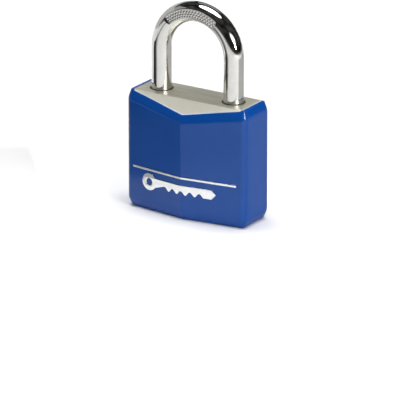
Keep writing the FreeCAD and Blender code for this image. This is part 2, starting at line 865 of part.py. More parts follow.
def make_chamber_cover(doc):
    body = new_body(doc, "chamber_cover")
    strip = sketch_on(body, "YZ_Plane", "strip", "dims.strip_inner")
    rectangle(strip, "-dims.strip_half", "dims.strip_low", "dims.strip_half", "dims.strip_high")
    pad(body, strip, "dims.bible_reach - dims.strip_inner", "sheet")
    return body


def make_tumbler(doc, label, outline, direction, height):
    """A turned pin: drawn upright, then laid along its chamber."""
    body = new_body(doc, label)
    section = sketch_on(body, "XZ_Plane", "section")
    polygon(section, outline)
    spin(body, section, "V_Axis", "turned")
    turn = FreeCAD.Rotation(FreeCAD.Vector(0, 0, 1), direction)
    body.Placement = FreeCAD.Placement(FreeCAD.Vector(), turn)
    body.setExpression("Placement.Base.z", height)
    doc.recompute()
    return body


def make_pin_stack(doc, number, height, cut):
    """Key pin in the plug, driver pin in the shell and the spring behind it."""
    radius = "dims.tumbler_radius"
    crown = "(dims.plug_radius - dims.shear_gap)"
    key_pin = (
        ("0", f"dims.{cut}"),
        ("dims.tip_flat", f"dims.{cut}"),
        (radius, f"dims.{cut} + dims.tip_rise"),
        (radius, f"{crown} - dims.crown_drop"),
        ("dims.crown_flat", crown),
        ("0", crown),
    )
    foot = "(dims.plug_radius + dims.shear_gap)"
    head = f"({foot} + dims.driver_length)"
    driver = (
        ("0", foot),
        ("dims.driver_face", foot),
        (radius, f"{foot} + dims.driver_edge"),
        (radius, head),
        ("0", head),
    )
    along_y, along_x = FreeCAD.Vector(0, 1, 0), FreeCAD.Vector(1, 0, 0)
    place = FreeCAD.Vector(
        size(doc, f"{head} + dims.pin_coil_seat"), 0, size(doc, height)
    )
    spring = make_coil(
        doc,
        f"pin_spring_{number}",
        "dims.pin_coil_radius",
        "dims.pin_coil_wire",
        "dims.pin_coil_pitch",
        f"dims.strip_inner - {head} - 2 * dims.pin_coil_seat",
        FreeCAD.Placement(place, FreeCAD.Rotation(FreeCAD.Vector(0, 0, 1), along_x)),
    )
    return [
        make_tumbler(doc, f"key_pin_{number}", key_pin, along_y, height),
        make_tumbler(doc, f"driver_pin_{number}", driver, along_x, height),
        spring,
    ]


def make_all(doc):
    pieces = [
        make_lock_body(doc),
        make_vinyl_cover(doc),
        make_trim_bar(doc),
        make_key_sign(doc),
        make_shackle(doc),
        make_shackle_spring(doc),
        make_stop_pin(doc),
        make_lever(doc, "heel_lever", "-"),
        make_lever(doc, "toe_lever", ""),
        make_cam(doc),
        make_plug(doc),
        make_plug_clip(doc),
        make_cylinder_shell(doc),
        make_cylinder_pin(doc),
        make_chamber_cover(doc),
    ]
    for number, (height, cut) in enumerate(zip(chamber_heights(), KEY_CUTS), 1):
        pieces += make_pin_stack(doc, number, height, cut)
    return pieces


def check(doc, pieces):
    for item in doc.Objects:
        if "Invalid" in item.State or "Error" in item.State:
            raise RuntimeError(f"{item.Label} failed: {item.State}")
    for piece in pieces:
        if piece.Shape.isNull() or not piece.Shape.isValid():
            raise RuntimeError(f"{piece.Label} has no valid shape")
        if len(piece.Shape.Solids) != 1:
            raise RuntimeError(f"{piece.Label} has {len(piece.Shape.Solids)} solids")


def main():
    doc = FreeCAD.newDocument("padlock")
    make_sheet(doc)
    pieces = make_all(doc)
    doc.recompute()
    check(doc, pieces)
    os.makedirs("parts", exist_ok=True)
    for piece in pieces:
        piece.Shape.exportStep(f"parts/{piece.Label}.step")


main()
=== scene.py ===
import json
import math

import bmesh
import bpy
import numpy as np
from mathutils import Matrix, Vector


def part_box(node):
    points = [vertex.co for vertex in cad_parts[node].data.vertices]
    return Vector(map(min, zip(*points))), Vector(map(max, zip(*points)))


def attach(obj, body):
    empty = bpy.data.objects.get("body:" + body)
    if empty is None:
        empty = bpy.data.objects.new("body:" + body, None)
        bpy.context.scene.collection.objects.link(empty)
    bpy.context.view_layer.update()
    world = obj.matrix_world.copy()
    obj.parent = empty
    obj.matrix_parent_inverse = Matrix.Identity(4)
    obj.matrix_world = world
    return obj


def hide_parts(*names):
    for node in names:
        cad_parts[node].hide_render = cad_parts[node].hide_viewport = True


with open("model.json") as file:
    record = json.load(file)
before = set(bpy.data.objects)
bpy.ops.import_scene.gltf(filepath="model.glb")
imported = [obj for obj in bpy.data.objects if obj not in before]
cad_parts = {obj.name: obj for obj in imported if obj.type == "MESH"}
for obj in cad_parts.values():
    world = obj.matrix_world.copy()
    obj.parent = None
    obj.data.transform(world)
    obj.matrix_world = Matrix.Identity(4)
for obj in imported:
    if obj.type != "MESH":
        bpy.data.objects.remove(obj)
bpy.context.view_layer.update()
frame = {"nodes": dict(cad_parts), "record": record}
MM = 0.001
SLIVER = 0.002 * MM

# Sizes read from the frame, in metres.
_, BODY_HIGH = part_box("vinyl_cover")
CORE_LOW, CORE_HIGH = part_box("lock_body")
SHACKLE_LOW, SHACKLE_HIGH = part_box("shackle")
BAR_LOW, BAR_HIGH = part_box("trim_bar")
SIGN_LOW, SIGN_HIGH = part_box("key_sign")

# The cover: a six-sided plan with a ridge at the front and the back.
TOP = BODY_HIGH.z
HALF = BODY_HIGH.x
RIDGE = BODY_HIGH.y
END_HALF = 6.65 * MM
END_ROUND = 2.0 * MM
RIDGE_ROUND = 2.5 * MM
RIDGE_EASE = 0.35 * MM
SLOPE = (RIDGE - END_HALF) / HALF
RIM_INSET = 0.9 * MM
RIM_DROP = 2.5 * MM
RIM_EASE = 0.6 * MM
FOOT_INSET = 1.15 * MM
FOOT_RISE = 2.6 * MM
UNDER_INSET = 0.95 * END_ROUND
FLOOR_SKIN = CORE_LOW.z
CUT_EDGE = 0.24 * MM
WINDOW_RADIUS = 5.2 * MM
WINDOW_EASE = 0.25 * MM

# The aluminium core inside it, with a flat top between two sloping facets.
CORE_HALF = CORE_HIGH.x
CORE_RIDGE = CORE_HIGH.y
CORE_END = CORE_RIDGE - SLOPE * CORE_HALF
CORE_CORNER = 0.8 * MM
CORE_RIDGE_ROUND = 1.3 * MM
FLAT_HALF = 5.6 * MM
FACET_DROP = 3.55 * MM
FACET_FALL = FACET_DROP / (CORE_RIDGE - FLAT_HALF)
CLIMB = FACET_FALL * SLOPE

# The raised bar and sign.
RELIEF = 0.5 * MM
RELIEF_BEVEL = 0.1 * MM

# The shackle.
LEG_RADIUS = SHACKLE_HIGH.y
LEG_OFFSET = SHACKLE_HIGH.x - LEG_RADIUS
ARCH_HEIGHT = SHACKLE_HIGH.z - SHACKLE_HIGH.x
ARCH_CENTRE = Vector((0, 0, ARCH_HEIGHT))
HEEL_END = SHACKLE_LOW.z
TOE_END = 22.2 * MM
NOSE = 0.6 * MM

# The coined flat on the front of the arch, and its dimples.
COIN_START, COIN_END, COIN_EASE = (math.radians(angle) for angle in (52, 137, 2.5))
COIN_DEPTH = 0.32 * MM
DIMPLE_PITCH = 0.95 * MM
DIMPLE_ROW = 0.72 * MM
DIMPLE_RADIUS = 0.34 * MM
DIMPLE_DEPTH = 0.14 * MM

# Where the key light and the back panel stand: azimuth and elevation, in degrees.
KEY_SIDE = (-19, 26)
BACK_SIDE = (165, 8)


# ---------------------------------------------------------------- mesh helpers


def shade(bm, sharp):
    """Smooth faces, with the edges sharper than an angle in degrees left hard."""
    limit = math.radians(sharp)
    for face in bm.faces:
        face.smooth = True
    for edge in bm.edges:
        if len(edge.link_faces) == 2 and edge.calc_face_angle(0) > limit:
            edge.smooth = False


def new_object(name, bm, sharp=40):
    bmesh.ops.recalc_face_normals(bm, faces=bm.faces)
    shade(bm, sharp)
    mesh = bpy.data.meshes.new(name)
    bm.to_mesh(mesh)
    bm.free()
    obj = bpy.data.objects.new(name, mesh)
    bpy.context.scene.collection.objects.link(obj)
    return obj


def finish_piece(obj, body, material, node):
    """Gives a piece its material and its body, and hides the CAD node that it stands for."""
    obj.data.materials.clear()
    obj.data.materials.append(material)
    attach(obj, body)
    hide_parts(node)
    return obj


def skin_rings(rings, closed_ends=False):
    """Quads between successive closed rings of points; the last joins the first if asked."""
    bm = bmesh.new()
    grid = [[bm.verts.new(point) for point in ring] for ring in rings]
    pairs = list(zip(grid, grid[1:]))
    if closed_ends:
        pairs.append((grid[-1], grid[0]))
    count = len(rings[0])
    for low, high in pairs:
        for i in range(count):
            j = (i + 1) % count
            bm.faces.new((low[i], low[j], high[j], high[i]))
    return bm, grid


def apply_modifiers(obj):
    graph = bpy.context.evaluated_depsgraph_get()
    mesh = bpy.data.meshes.new_from_object(obj.evaluated_get(graph))
    obj.modifiers.clear()
    obj.data = mesh


def rounded(points, radii, steps=4):
    """A polyline with each inner corner eased by a short curve of the given size."""
    longest_share = 0.48
    out = [points[0]]
    for before, corner, after, radius in zip(points, points[1:], points[2:], radii):
        into = before - corner
        away = after - corner
        reach = min(radius, longest_share * into.length, longest_share * away.length)
        start = corner + into.normalized() * reach
        end = corner + away.normalized() * reach
        for k in range(steps + 1):
            t = k / steps
            out.append(start * (1 - t) ** 2 + corner * 2 * t * (1 - t) + end * t**2)
    out.append(points[-1])
    return out


def arc_points(x, z, radius, start, sweep, steps):
    """Points along an arc in the XZ plane, both its ends included."""
    angles = [start + sweep * k / steps for k in range(steps + 1)]
    return [(x + radius * math.cos(angle), z + radius * math.sin(angle)) for angle in angles]


# ---------------------------------------------------------------- cover


def corner_arc(before, corner, after, radius):
    """Points and outward directions round one corner of a plan."""
    sharp_turn, sharp_steps, gentle_steps = 0.6, 12, 6
    into = (corner - before).normalized()
    away = (after - corner).normalized()
    first = Vector((into.y, -into.x))
    last = Vector((away.y, -away.x))
    turn = first.angle(last)
    centre = corner - (first + last).normalized() * radius / math.cos(turn / 2)
    steps = sharp_steps if turn > sharp_turn else gentle_steps
    arc = []
    for k in range(steps + 1):
        facing = Matrix.Rotation(turn * k / steps, 2) @ first
        arc.append((centre + facing * radius, facing))
    return arc


def plan_stations(half, end_half, ridge, end_round, ridge_round):
    """Points and outward directions round a six-sided plan, seen from above."""
    end_divisions, wall_divisions = 8, 16
    corners = [
        (Vector((half, -end_half)), end_round),
        (Vector((half, end_half)), end_round),
        (Vector((0, ridge)), ridge_round),
        (Vector((-half, end_half)), end_round),
        (Vector((-half, -end_half)), end_round),
        (Vector((0, -ridge)), ridge_round),
    ]
    count = len(corners)
    arcs = []
    for i, (corner, radius) in enumerate(corners):
        before, after = corners[i - 1][0], corners[(i + 1) % count][0]
        arcs.append(corner_arc(before, corner, after, radius))
    stations = []
    for i, arc in enumerate(arcs):
        stations += arc
        start, facing = arc[-1]
        end = arcs[(i + 1) % count][0][0]
        along_an_end = i % 3 == 0
        divisions = end_divisions if along_an_end else wall_divisions
        for k in range(1, divisions):
            stations.append((start.lerp(end, k / divisions), facing))
    return stations


def on_top(place):
    """A plan point lifted to the flat top or one of its two sloping facets."""
    fall = max(0.0, abs(place.y) - FLAT_HALF) * FACET_FALL
    return Vector((*place, TOP - fall))


def cover_column(outer, facing, inner):
    """One upright section of the cover: its skin up to the cut edge, then the cut edge."""

    def at(inset, height):
        return Vector((*(outer - facing * inset), height))

    across = math.hypot(outer.x, RIM_EASE)
    band = TOP - RIM_DROP - CLIMB * (HALF - across)
    rim = outer - facing * RIM_INSET
    edge = on_top(inner + (rim - inner).normalized() * CUT_EDGE)
    foot_edge, foot_line, band_line, lip = 0.5 * MM, 0.7 * MM, 0.8 * MM, 0.14 * MM
    knots = [
        at(UNDER_INSET, 0),
        at(FOOT_INSET, 0),
        at(0, FOOT_RISE),
        at(0, band),
        on_top(rim),
        edge,
    ]
    skin = rounded(knots, (foot_edge, foot_line, band_line, lip))
    cut = rounded([edge, on_top(inner), Vector((*inner, FLOOR_SKIN))], (lip,))
    return skin, cut[1:]


def window_mouth(outer):
    """Rings from the inside of the floor down through the round window, eased at its rim."""

    def ring(radius, height):
        return [(*(point.normalized() * radius), height) for point, _ in outer]

    shoulder = 0.3 * WINDOW_EASE
    return [
        ring(WINDOW_RADIUS, FLOOR_SKIN),
        ring(WINDOW_RADIUS, WINDOW_EASE),
        ring(WINDOW_RADIUS + shoulder, shoulder),
        ring(WINDOW_RADIUS + WINDOW_EASE, 0),
    ]


def build_cover(material, edge_highlight):
    """The cover, with a painted highlight on its cut edge, as a paler material, except along the left
    end.
    """
    outer = plan_stations(HALF, END_HALF, RIDGE, END_ROUND, RIDGE_ROUND)
    inner = plan_stations(CORE_HALF, CORE_END, CORE_RIDGE, CORE_CORNER, CORE_RIDGE_ROUND)
    columns = []
    for (point, facing), (core_point, _) in zip(outer, inner):
        skin, cut = cover_column(point, facing, core_point)
        columns.append(skin + cut)
    mouth = window_mouth(outer)
    rings = [list(ring) for ring in zip(*columns)]
    bm, _ = skin_rings(mouth + rings, closed_ends=True)
    cover = new_object("cover_skin", bm, sharp=60)
    finish_piece(cover, "lock", material, "vinyl_cover")
    # The second material holds the painted highlight of the cut edge.
    cover.data.materials.append(edge_highlight)
    count = len(outer)
    first = (len(mouth) + len(skin) - 1) * count
    last = first + (len(cut) - 1) * count
    # Faces of the cut edge take the painted highlight, except along the left end, which keeps the
    # plain vinyl.
    for index, face in enumerate(cover.data.polygons[first:last]):
        at_left_end = outer[index % count][1].x < -0.5
        face.material_index = 0 if at_left_end else 1


# ---------------------------------------------------------------- bar and sign


def front_wall(x):
    return -(RIDGE - SLOPE * math.hypot(x, RIDGE_EASE))


def wrap_on_front(obj):
    """Bends a flat piece round the body's front ridge, with half its thickness proud."""
    for vertex in obj.data.vertices:
        x, y, z = vertex.co
        vertex.co = (x, front_wall(x) + y, z)


def relief_mesh(name, outlines):
    """A bevelled plate in the XZ plane. The first outline is its outside, any others are holes."""
    curve = bpy.data.curves.new(name, "CURVE")
    curve.dimensions = "2D"
    curve.fill_mode = "BOTH"
    curve.extrude = RELIEF / 2 - RELIEF_BEVEL
    curve.bevel_depth = RELIEF_BEVEL
    curve.bevel_resolution = 3
    curve.offset = -RELIEF_BEVEL
    for outline in outlines:
        spline = curve.splines.new("POLY")
        spline.points.add(len(outline) - 1)
        for point, (x, z) in zip(spline.points, outline):
            point.co = (x, z, 0, 1)
        spline.use_cyclic_u = True
    temp = bpy.data.objects.new(name, curve)
    bpy.context.scene.collection.objects.link(temp)
    graph = bpy.context.evaluated_depsgraph_get()
    mesh = bpy.data.meshes.new_from_object(temp.evaluated_get(graph))
    bpy.data.objects.remove(temp)
    bm = bmesh.new()
    bm.from_mesh(mesh)
    bmesh.ops.remove_doubles(bm, verts=bm.verts, dist=SLIVER)
    upright = Matrix.Rotation(math.pi / 2, 4, "X")
    bmesh.ops.transform(bm, matrix=upright, verts=bm.verts)
    cuts_by_the_ridge = np.linspace(-1.0, 1.0, 5) * MM
    for cut in cuts_by_the_ridge:
        bmesh.ops.bisect_plane(
            bm,
            geom=bm.verts[:] + bm.edges[:] + bm.faces[:],
            plane_co=(cut, 0, 0),
            plane_no=(1, 0, 0),
        )
    bmesh.ops.dissolve_degenerate(bm, dist=SLIVER, edges=bm.edges)
    return bm


def bar_outline():
    """A long bar with round ends."""
    radius = (BAR_HIGH.z - BAR_LOW.z) / 2
    middle = (BAR_LOW.z + BAR_HIGH.z) / 2
    reach = BAR_HIGH.x - radius
    quarter, steps = math.pi / 2, 8
    right = arc_points(reach, middle, radius, -quarter, 2 * quarter, steps)
    left = arc_points(-reach, middle, radius, quarter, 2 * quarter, steps)
    return right + left


def key_outlines():
    """A key on its side: round bow with a hole, then a blade with cuts on its lower edge."""
    bow = (SIGN_HIGH.z - SIGN_LOW.z) / 2
    middle = SIGN_LOW.z + bow
    centre = SIGN_LOW.x + bow
    tip = SIGN_HIGH.x
    blade = 0.55 * bow
    hole = 0.42 * bow
    neck = math.sqrt(bow**2 - blade**2)
    meeting = math.asin(blade / bow)
    outline = arc_points(centre, middle, bow, meeting, 2 * math.pi - 2 * meeting, 32)
    teeth = 5
    pitch = (tip - centre - neck) / (teeth + 2)
    low = middle - blade
    cut_top = low + 0.75 * blade
    for tooth in range(1, teeth + 1):
        place = centre + neck + pitch * (tooth + 0.2)
        outline.append((place - 0.10 * pitch, cut_top))
        outline.append((place + 0.10 * pitch, cut_top))
        outline.append((place + 0.45 * pitch, low))
        outline.append((place + 0.60 * pitch, low))
    outline.append((tip - blade, low))
    outline.append((tip, middle + 0.1 * blade))
    outline.append((tip - blade, middle + blade))
    return [outline, arc_points(centre, middle, hole, 0, 2 * math.pi, 24)[:-1]]


def build_relief(name, outlines, material, node, sharp):
    """A raised piece, wrapped on the front wall."""
    piece = new_object(name, relief_mesh(name, outlines), sharp)
    wrap_on_front(piece)
    finish_piece(piece, "lock", material, node)


# ---------------------------------------------------------------- shackle


def leg_stations(side, end):
    """Stations up one leg, from its chamfered end to the arch: centre, outward, radius."""
    steps = 40
    nose = [(end, LEG_RADIUS - NOSE), (end + NOSE, LEG_RADIUS)]
    run = [(float(z), LEG_RADIUS) for z in np.linspace(end + 2 * NOSE, ARCH_HEIGHT, steps)]
    out = Vector((side, 0, 0))
    return [(Vector((side * LEG_OFFSET, 0, z)), out, radius) for z, radius in nose + run]


def arch_stations():
    steps = 300
    stations = []
    for k in range(1, steps):
        angle = math.pi * (1 - k / steps)
        out = Vector((math.cos(angle), 0, math.sin(angle)))
        stations.append((ARCH_CENTRE + out * LEG_OFFSET, out, LEG_RADIUS))
    return stations


def coin_share(angle):
    """How far the coined flat is pressed in at an angle round the arch, 0 to 1."""
    rise = max(0.0, (angle - COIN_START) / COIN_EASE)
    fall = max(0.0, (COIN_END - angle) / COIN_EASE)
    return min(1.0, rise, fall)


def dimple_share(radial, along):
    """How deep the dimples are at a place on the coined flat, 0 to 1."""
    share = 0.0
    for row in (-1, 0, 1):
        across = radial - row * DIMPLE_ROW
        step = along / DIMPLE_PITCH + 0.5 * (row % 2)
        offset = (step - round(step)) * DIMPLE_PITCH
        gap = math.hypot(offset, across) / DIMPLE_RADIUS
        share = max(share, 1 - gap * gap)
    return share


def press_flat(point):
    """Flattens the front of the arch and stipples the flat with small round dimples."""
    rel = point - ARCH_CENTRE
    if point.y > -0.5 * LEG_RADIUS or rel.z < 0:
        return point
    angle = math.atan2(rel.z, rel.x)
    share = coin_share(angle)
    flat = -(LEG_RADIUS - COIN_DEPTH * share)
    if share <= 0 or point.y >= flat:
        return point
    radial = math.hypot(rel.x, rel.z) - LEG_OFFSET
    dimple = dimple_share(radial, angle * LEG_OFFSET) * DIMPLE_DEPTH * share
    return Vector((point.x, flat + dimple, point.z))


def build_shackle(material):
    around = 128
    stations = leg_stations(-1, HEEL_END) + arch_stations() + leg_stations(1, TOE_END)[::-1]
    rings = []
    for centre, out, radius in stations:
        ring = []
        for i in range(around):
            angle = 2 * math.pi * i / around
            offset = out * math.cos(angle) + Vector((0, -1, 0)) * math.sin(angle)
            ring.append(press_flat(centre + offset * radius))
        rings.append(ring)
    bm, grid = skin_rings(rings)
    bm.faces.new(grid[0])
    bm.faces.new(grid[-1])
    shackle = new_object("shackle_bow", bm, sharp=30)
    cut_shackle(shackle)
    finish_piece(shackle, "shackle", material, "shackle")


def box_cutter(name, near, far):
    bm = bmesh.new()
    bmesh.ops.create_cube(bm, size=1)
    for vertex in bm.verts:
        shares = vertex.co + Vector((0.5, 0.5, 0.5))
        vertex.co = Vector(a + (b - a) * share for a, b, share in zip(near, far, shares))
    return new_object(name, bm)


def rod_cutter(name, x, radius, low, high):
    bm = bmesh.new()
    place = Matrix.Translation((x, 0, (low + high) / 2))
    bmesh.ops.create_cone(
        bm, cap_ends=True, segments=48, radius1=radius, radius2=radius,
        depth=high - low, matrix=place,
    )
    return new_object(name, bm)


def cut_shackle(shackle):
    """Lever notches in both legs, the heel's long flat for the stop pin, the spring bore."""
    inner = LEG_OFFSET - LEG_RADIUS
    wide = 2 * LEG_RADIUS
    notch_low, notch_high, notch = 23.9 * MM, 26.7 * MM, 2.0 * MM
    flat_low, flat_high, flat = 6.9 * MM, 23.2 * MM, 0.8 * MM
    bore_radius, bore_top = 1.5 * MM, HEEL_END + 12 * MM
    cutters = [
        box_cutter("heel_notch", (-inner - notch, -wide, notch_low), (-inner + MM, wide, notch_high)),
        box_cutter("toe_notch", (inner - MM, -wide, notch_low), (inner + notch, wide, notch_high)),
        box_cutter("heel_flat", (-inner - flat, -wide, flat_low), (-inner + MM, wide, flat_high)),
        rod_cutter("spring_bore", -LEG_OFFSET, bore_radius, HEEL_END - MM, bore_top),
    ]
    for cutter in cutters:
        cut = shackle.modifiers.new(cutter.name, "BOOLEAN")
        cut.object = cutter
        cut.operation = "DIFFERENCE"
        cut.solver = "EXACT"
    apply_modifiers(shackle)
    for cutter in cutters:
        bpy.data.objects.remove(cutter)
    bm = bmesh.new()
    bm.from_mesh(shackle.data)
    for edge in bm.edges:
        edge.smooth = True
    shade(bm, 30)
    bm.to_mesh(shackle.data)
    bm.free()


# ---------------------------------------------------------------- materials


class Nodes:
    """Short calls for building one node material."""

    def __init__(self, name):
        self.material = bpy.data.materials.new(name)
        self.material.use_nodes = True
        self.tree = self.material.node_tree
        self.shader = self.tree.nodes["Principled BSDF"]

    def add(self, kind, **values):
        node = self.tree.nodes.new(kind)
        for key, value in values.items():
            setattr(node, key, value)
        return node

    def feed(self, socket, value):
        """Links another node's output to a socket, or sets the socket to a constant."""
        if isinstance(value, bpy.types.NodeSocket):
            self.tree.links.new(value, socket)
        else:
            socket.default_value = value

    def feed_named(self, node, values):
        for name, value in values.items():
            self.feed(node.inputs[name], value)

    def place(self, scale=(1, 1, 1)):
        """Object coordinates, stretched."""
        coords = self.add("ShaderNodeTexCoord")
        mapping = self.add("ShaderNodeMapping")
        self.feed_named(mapping, {"Vector": coords.outputs["Object"], "Scale": scale})
        return mapping.outputs["Vector"]

    def noise(self, vector, scale, detail=4.0, roughness=0.55):
        node = self.add("ShaderNodeTexNoise")
        values = {"Vector": vector, "Scale": scale, "Detail": detail, "Roughness": roughness}
        self.feed_named(node, values)
        return node.outputs["Fac"]

    def remap(self, value, low, high, from_low=0.3, from_high=0.7):
        """Stretches a value to a new range. Most of a noise lies between 0.3 and 0.7."""
        node = self.add("ShaderNodeMapRange")
        values = {"From Min": from_low, "From Max": from_high, "To Min": low, "To Max": high}
        self.feed_named(node, {"Value": value, **values})
        return node.outputs["Result"]

    def blend_colours(self, factor, first, second):
        factor_socket, first_socket, second_socket, result = 0, 6, 7, 2
        node = self.add("ShaderNodeMix", data_type="RGBA")
        self.feed(node.inputs[factor_socket], factor)
        self.feed(node.inputs[first_socket], first)
        self.feed(node.inputs[second_socket], second)
        return node.outputs[result]

    def mix(self, factor, first, second):
        """Mixes two constant colours."""
        return self.blend_colours(factor, (*first, 1), (*second, 1))

    def blend_values(self, factor, first, second):
        factor_socket, first_socket, second_socket, result = 0, 2, 3, 0
        node = self.add("ShaderNodeMix", data_type="FLOAT")
        self.feed(node.inputs[factor_socket], factor)
        self.feed(node.inputs[first_socket], first)
        self.feed(node.inputs[second_socket], second)
        return node.outputs[result]

    def math(self, operation, *values):
        node = self.add("ShaderNodeMath", operation=operation)
        for socket, value in zip(node.inputs, values):
            self.feed(socket, value)
        return node.outputs[0]

    def bump(self, height, strength, distance, before=None):
        """A bump, laid over an earlier one if asked."""
        node = self.add("ShaderNodeBump")
        values = {"Height": height, "Strength": strength, "Distance": distance}
        if before is not None:
            values["Normal"] = before
        self.feed_named(node, values)
        return node.outputs["Normal"]

    def set(self, **values):
        for key, value in values.items():
            self.feed(self.shader.inputs[key.replace("_", " ")], value)


def vinyl_material():
    """Moulded vinyl: nearly even colour, a soft orange-peel skin and a fine uneven gloss."""
    n = Nodes("vinyl")
    where = n.place()
    broad = n.noise(where, scale=60, detail=3)
    skin = n.noise(where, scale=420, detail=2, roughness=0.4)
    grain = n.noise(where, scale=2600, detail=3)
    colour = n.mix(n.remap(broad, 0, 1), (0.0027, 0.0600, 0.298), (0.0033, 0.0675, 0.331))
    n.set(Base_Color=colour, Roughness=n.remap(grain, 0.13, 0.21))
    n.set(Normal=n.bump(skin, strength=0.12, distance=0.05 * MM))
    n.set(IOR=1.4)
    return n.material


def painted_edge_highlight_material():
    """A painted highlight on the cover's cut edge beside the metal: a pale blue-white colour standing
    in for the shine along the edge's rounded lip, slightly uneven.
    """
    n = Nodes("vinyl_painted_edge_highlight")
    unevenness = n.noise(n.place(), scale=900, detail=3)
    # Painted highlight: the edge is coloured pale blue-white instead of the vinyl's own blue.
    n.set(Base_Color=n.mix(n.remap(unevenness, 0, 1), (0.60, 0.72, 0.95), (0.74, 0.84, 1.0)))
    n.set(Roughness=n.remap(unevenness, 0.45, 0.6))
    n.set(Normal=n.bump(unevenness, strength=0.2, distance=0.03 * MM))
    return n.material


def aluminium_material():
    """Flat faces keep the cutter's streaks along X; sloping faces have a satin finish."""
    n = Nodes("milled_aluminium")
    coords = n.add("ShaderNodeTexCoord")
    split = n.add("ShaderNodeSeparateXYZ")
    n.feed(split.inputs[0], coords.outputs["Normal"])
    level = n.remap(n.math("ABSOLUTE", split.outputs["Z"]), 0, 1, from_low=0.7, from_high=0.95)
    streaks = n.noise(n.place((40, 2600, 2600)), scale=1.0, detail=6, roughness=0.7)
    fine = n.noise(n.place((300, 9000, 9000)), scale=1.0, detail=3, roughness=0.6)
    satin = n.noise(n.place(), scale=3500, detail=3, roughness=0.6)
    blotch = n.noise(n.place(), scale=260, detail=3)
    milled = n.mix(n.remap(streaks, 0, 1), (0.63, 0.61, 0.50), (0.95, 0.93, 0.795))
    blasted = n.mix(n.remap(blotch, 0, 1), (0.87, 0.86, 0.755), (0.90, 0.89, 0.79))
    n.set(Base_Color=n.blend_colours(level, blasted, milled), Metallic=1.0)
    rough_flat = n.remap(fine, 0.40, 0.54)
    rough_slope = n.remap(satin, 0.56, 0.70)
    n.set(Roughness=n.blend_values(level, rough_slope, rough_flat))
    grooves = n.math("MULTIPLY", streaks, level)
    normal = n.bump(grooves, strength=0.35, distance=0.04 * MM)
    n.set(Normal=n.bump(satin, strength=0.2, distance=0.01 * MM, before=normal))
    return n.material


def polished_material(name, light, dark, roughness):
    """Bright metal with a faint haze and hair lines round it."""
    n = Nodes(name)
    haze = n.noise(n.place(), scale=420)
    lines = n.noise(n.place((7000, 7000, 250)), scale=1.0, detail=3, roughness=0.6)
    n.set(Base_Color=n.mix(n.remap(haze, 0, 1), dark, light), Metallic=1.0)
    mixed = n.math("ADD", n.remap(haze, 0, 0.6), n.remap(lines, 0, 0.4))
    n.set(Roughness=n.remap(mixed, *roughness, from_low=0, from_high=1))
    n.set(Normal=n.bump(lines, strength=0.05, distance=0.01 * MM))
    return n.material


def turned_material(name, light, dark, roughness):
    """Metal with fine rings left by turning or drawing."""
    n = Nodes(name)
    rings = n.noise(n.place((900, 900, 9000)), scale=1.0, roughness=0.65)
    cloud = n.noise(n.place(), scale=500)
    n.set(Base_Color=n.mix(n.remap(cloud, 0, 1), dark, light), Metallic=1.0)
    n.set(Roughness=n.remap(rings, *roughness))
    n.set(Normal=n.bump(rings, strength=0.3, distance=0.02 * MM))
    return n.material


def floor_material():
    n = Nodes("pale_floor")
    cloud = n.noise(n.place(), scale=40, detail=3)
    n.set(Base_Color=n.mix(n.remap(cloud, 0, 1), (0.97, 0.97, 0.97), (0.985, 0.985, 0.985)))
    n.set(Roughness=0.9)
    return n.material


def slot_materials():
    """One material for each of the record's material slots."""
    return {
        "aluminium_core": aluminium_material(),
        "blue_vinyl": vinyl_material(),
        "silver_trim": polished_material(
            "silver", light=(0.84, 0.85, 0.84), dark=(0.72, 0.74, 0.73), roughness=(0.16, 0.30)
        ),
        "chromed_steel": polished_material(
            "chrome", light=(0.64, 0.635, 0.612), dark=(0.58, 0.575, 0.552), roughness=(0.03, 0.07)
        ),
        "hardened_steel": turned_material(
            "ground_steel", light=(0.55, 0.55, 0.56), dark=(0.42, 0.42, 0.43), roughness=(0.25, 0.40)
        ),
        "spring_steel": turned_material(
            "spring_wire", light=(0.62, 0.62, 0.62), dark=(0.50, 0.50, 0.50), roughness=(0.20, 0.35)
        ),
        "brass": turned_material(
            "turned_brass", light=(0.80, 0.62, 0.32), dark=(0.66, 0.48, 0.22), roughness=(0.22, 0.38)
        ),
    }


# ---------------------------------------------------------------- camera, floor, light


def build_camera():
    """Looks down at the front and the toe end, from well away."""
    turn, rise = math.radians(32.62), math.radians(19.55)
    distance = 1.4286
    aim_right, aim_up = 0.68 * MM, 3.26 * MM
    forward = Vector(
        (-math.sin(turn) * math.cos(rise), math.cos(turn) * math.cos(rise), -math.sin(rise))
    )
    right = Vector((math.cos(turn), math.sin(turn), 0))
    up = right.cross(forward)
    target = right * aim_right + up * aim_up
    data = bpy.data.cameras.new("camera")
    data.sensor_width = 36
    data.lens = 440.3
    data.clip_end = 20
    camera = bpy.data.objects.new("camera", data)
    bpy.context.scene.collection.objects.link(camera)
    axes = Matrix((right, up, -forward)).transposed().to_4x4()
    camera.matrix_world = Matrix.Translation(target - forward * distance) @ axes
    bpy.context.scene.camera = camera


def build_floor():
    bm = bmesh.new()
    bmesh.ops.create_grid(bm, x_segments=8, y_segments=8, size=6)
    floor = new_object("floor", bm)
    floor.data.materials.append(floor_material())


def bearing(azimuth, elevation, distance, height=0.03):
    """A place seen from a height on the Z axis: azimuth from +X towards +Y, in degrees."""
    turn, rise = math.radians(azimuth), math.radians(elevation)
    flat = math.cos(rise) * distance
    return Vector(
        (math.cos(turn) * flat, math.sin(turn) * flat, height + math.sin(rise) * distance)
    )


def area_light(name, place, size, power, target=(0, 0, 0.03), shape="ELLIPSE"):
    data = bpy.data.lights.new(name, "AREA")
    data.shape = shape
    data.size, data.size_y = size
    data.energy = power
    light = bpy.data.objects.new(name, data)
    light.visible_camera = False
    bpy.context.scene.collection.objects.link(light)
    aim = (Vector(target) - Vector(place)).to_track_quat("-Z", "Y")
    light.matrix_world = Matrix.Translation(place) @ aim.to_matrix().to_4x4()
    return light


